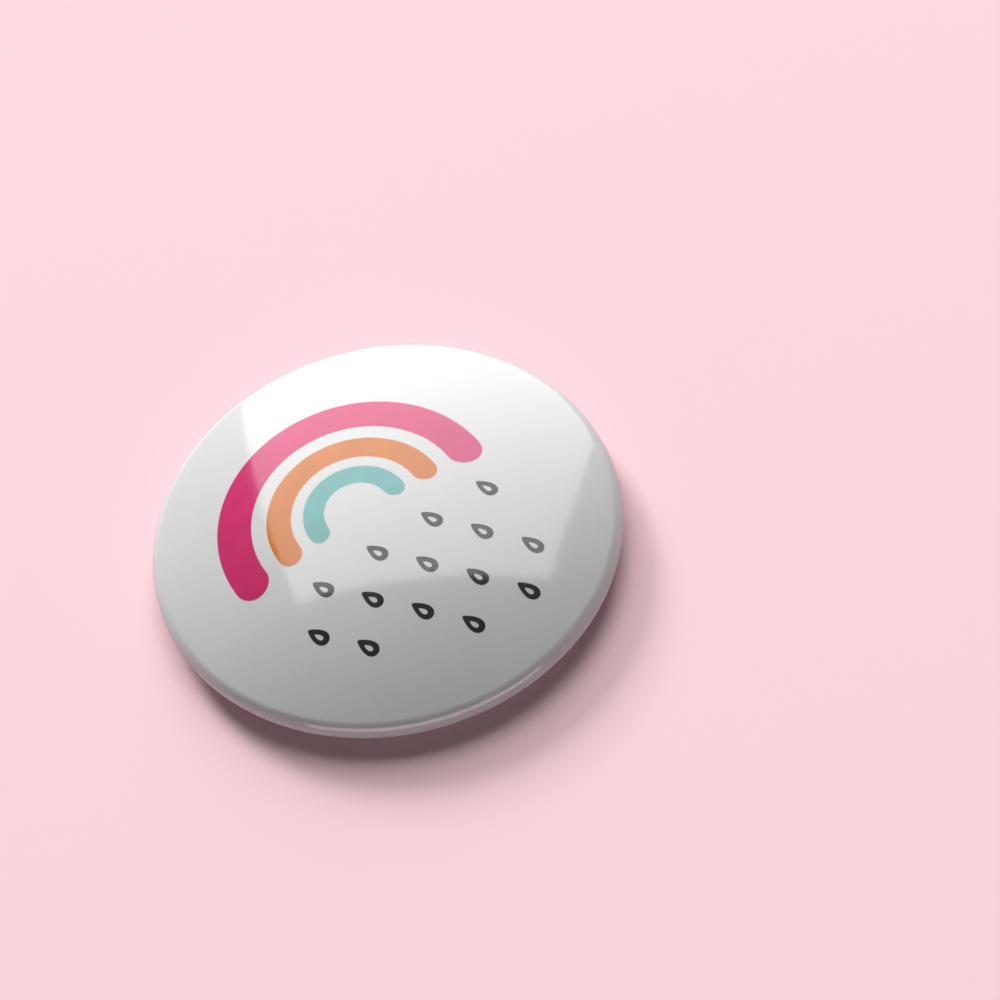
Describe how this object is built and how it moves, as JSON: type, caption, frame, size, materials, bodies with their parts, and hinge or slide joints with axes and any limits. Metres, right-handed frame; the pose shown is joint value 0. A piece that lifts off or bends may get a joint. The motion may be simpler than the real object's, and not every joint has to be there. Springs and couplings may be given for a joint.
{
  "type": "button badge",
  "caption": "Round pin-back button badge: domed tinplate shell under printed paper and clear film, with a recessed metal back and a swing-out wire pin.",
  "frame": {"origin": "centre of the badge, at the height of the flat back ridge that it rests on", "axes": "+Z out of the printed face; +X along the closed pin from its coil to its point; +Y towards the top of the print"},
  "size_m": [0.058, 0.058, 0.0092],
  "materials": {
    "film": "clear gloss",
    "print": "printed",
    "tinplate": "bright tinplate",
    "back": "bright plated",
    "wire": "spring wire"
  },
  "bodies": {
    "badge": {"front_shell": "tinplate", "print_disc": "print", "clear_film": "film", "back_plate": "back", "pin_coil": "wire", "pin_catch": "wire"},
    "pin": {"pin_needle": "wire"}
  },
  "joints": [
    {"name": "pin_swing", "type": "hinge", "parent": "badge", "child": "pin", "pos_m": [-0.0133, 0, 0.0036], "axis": [0, 1, 0], "range_deg": [0, 65], "deforming": ["pin_coil"]}
  ]
}
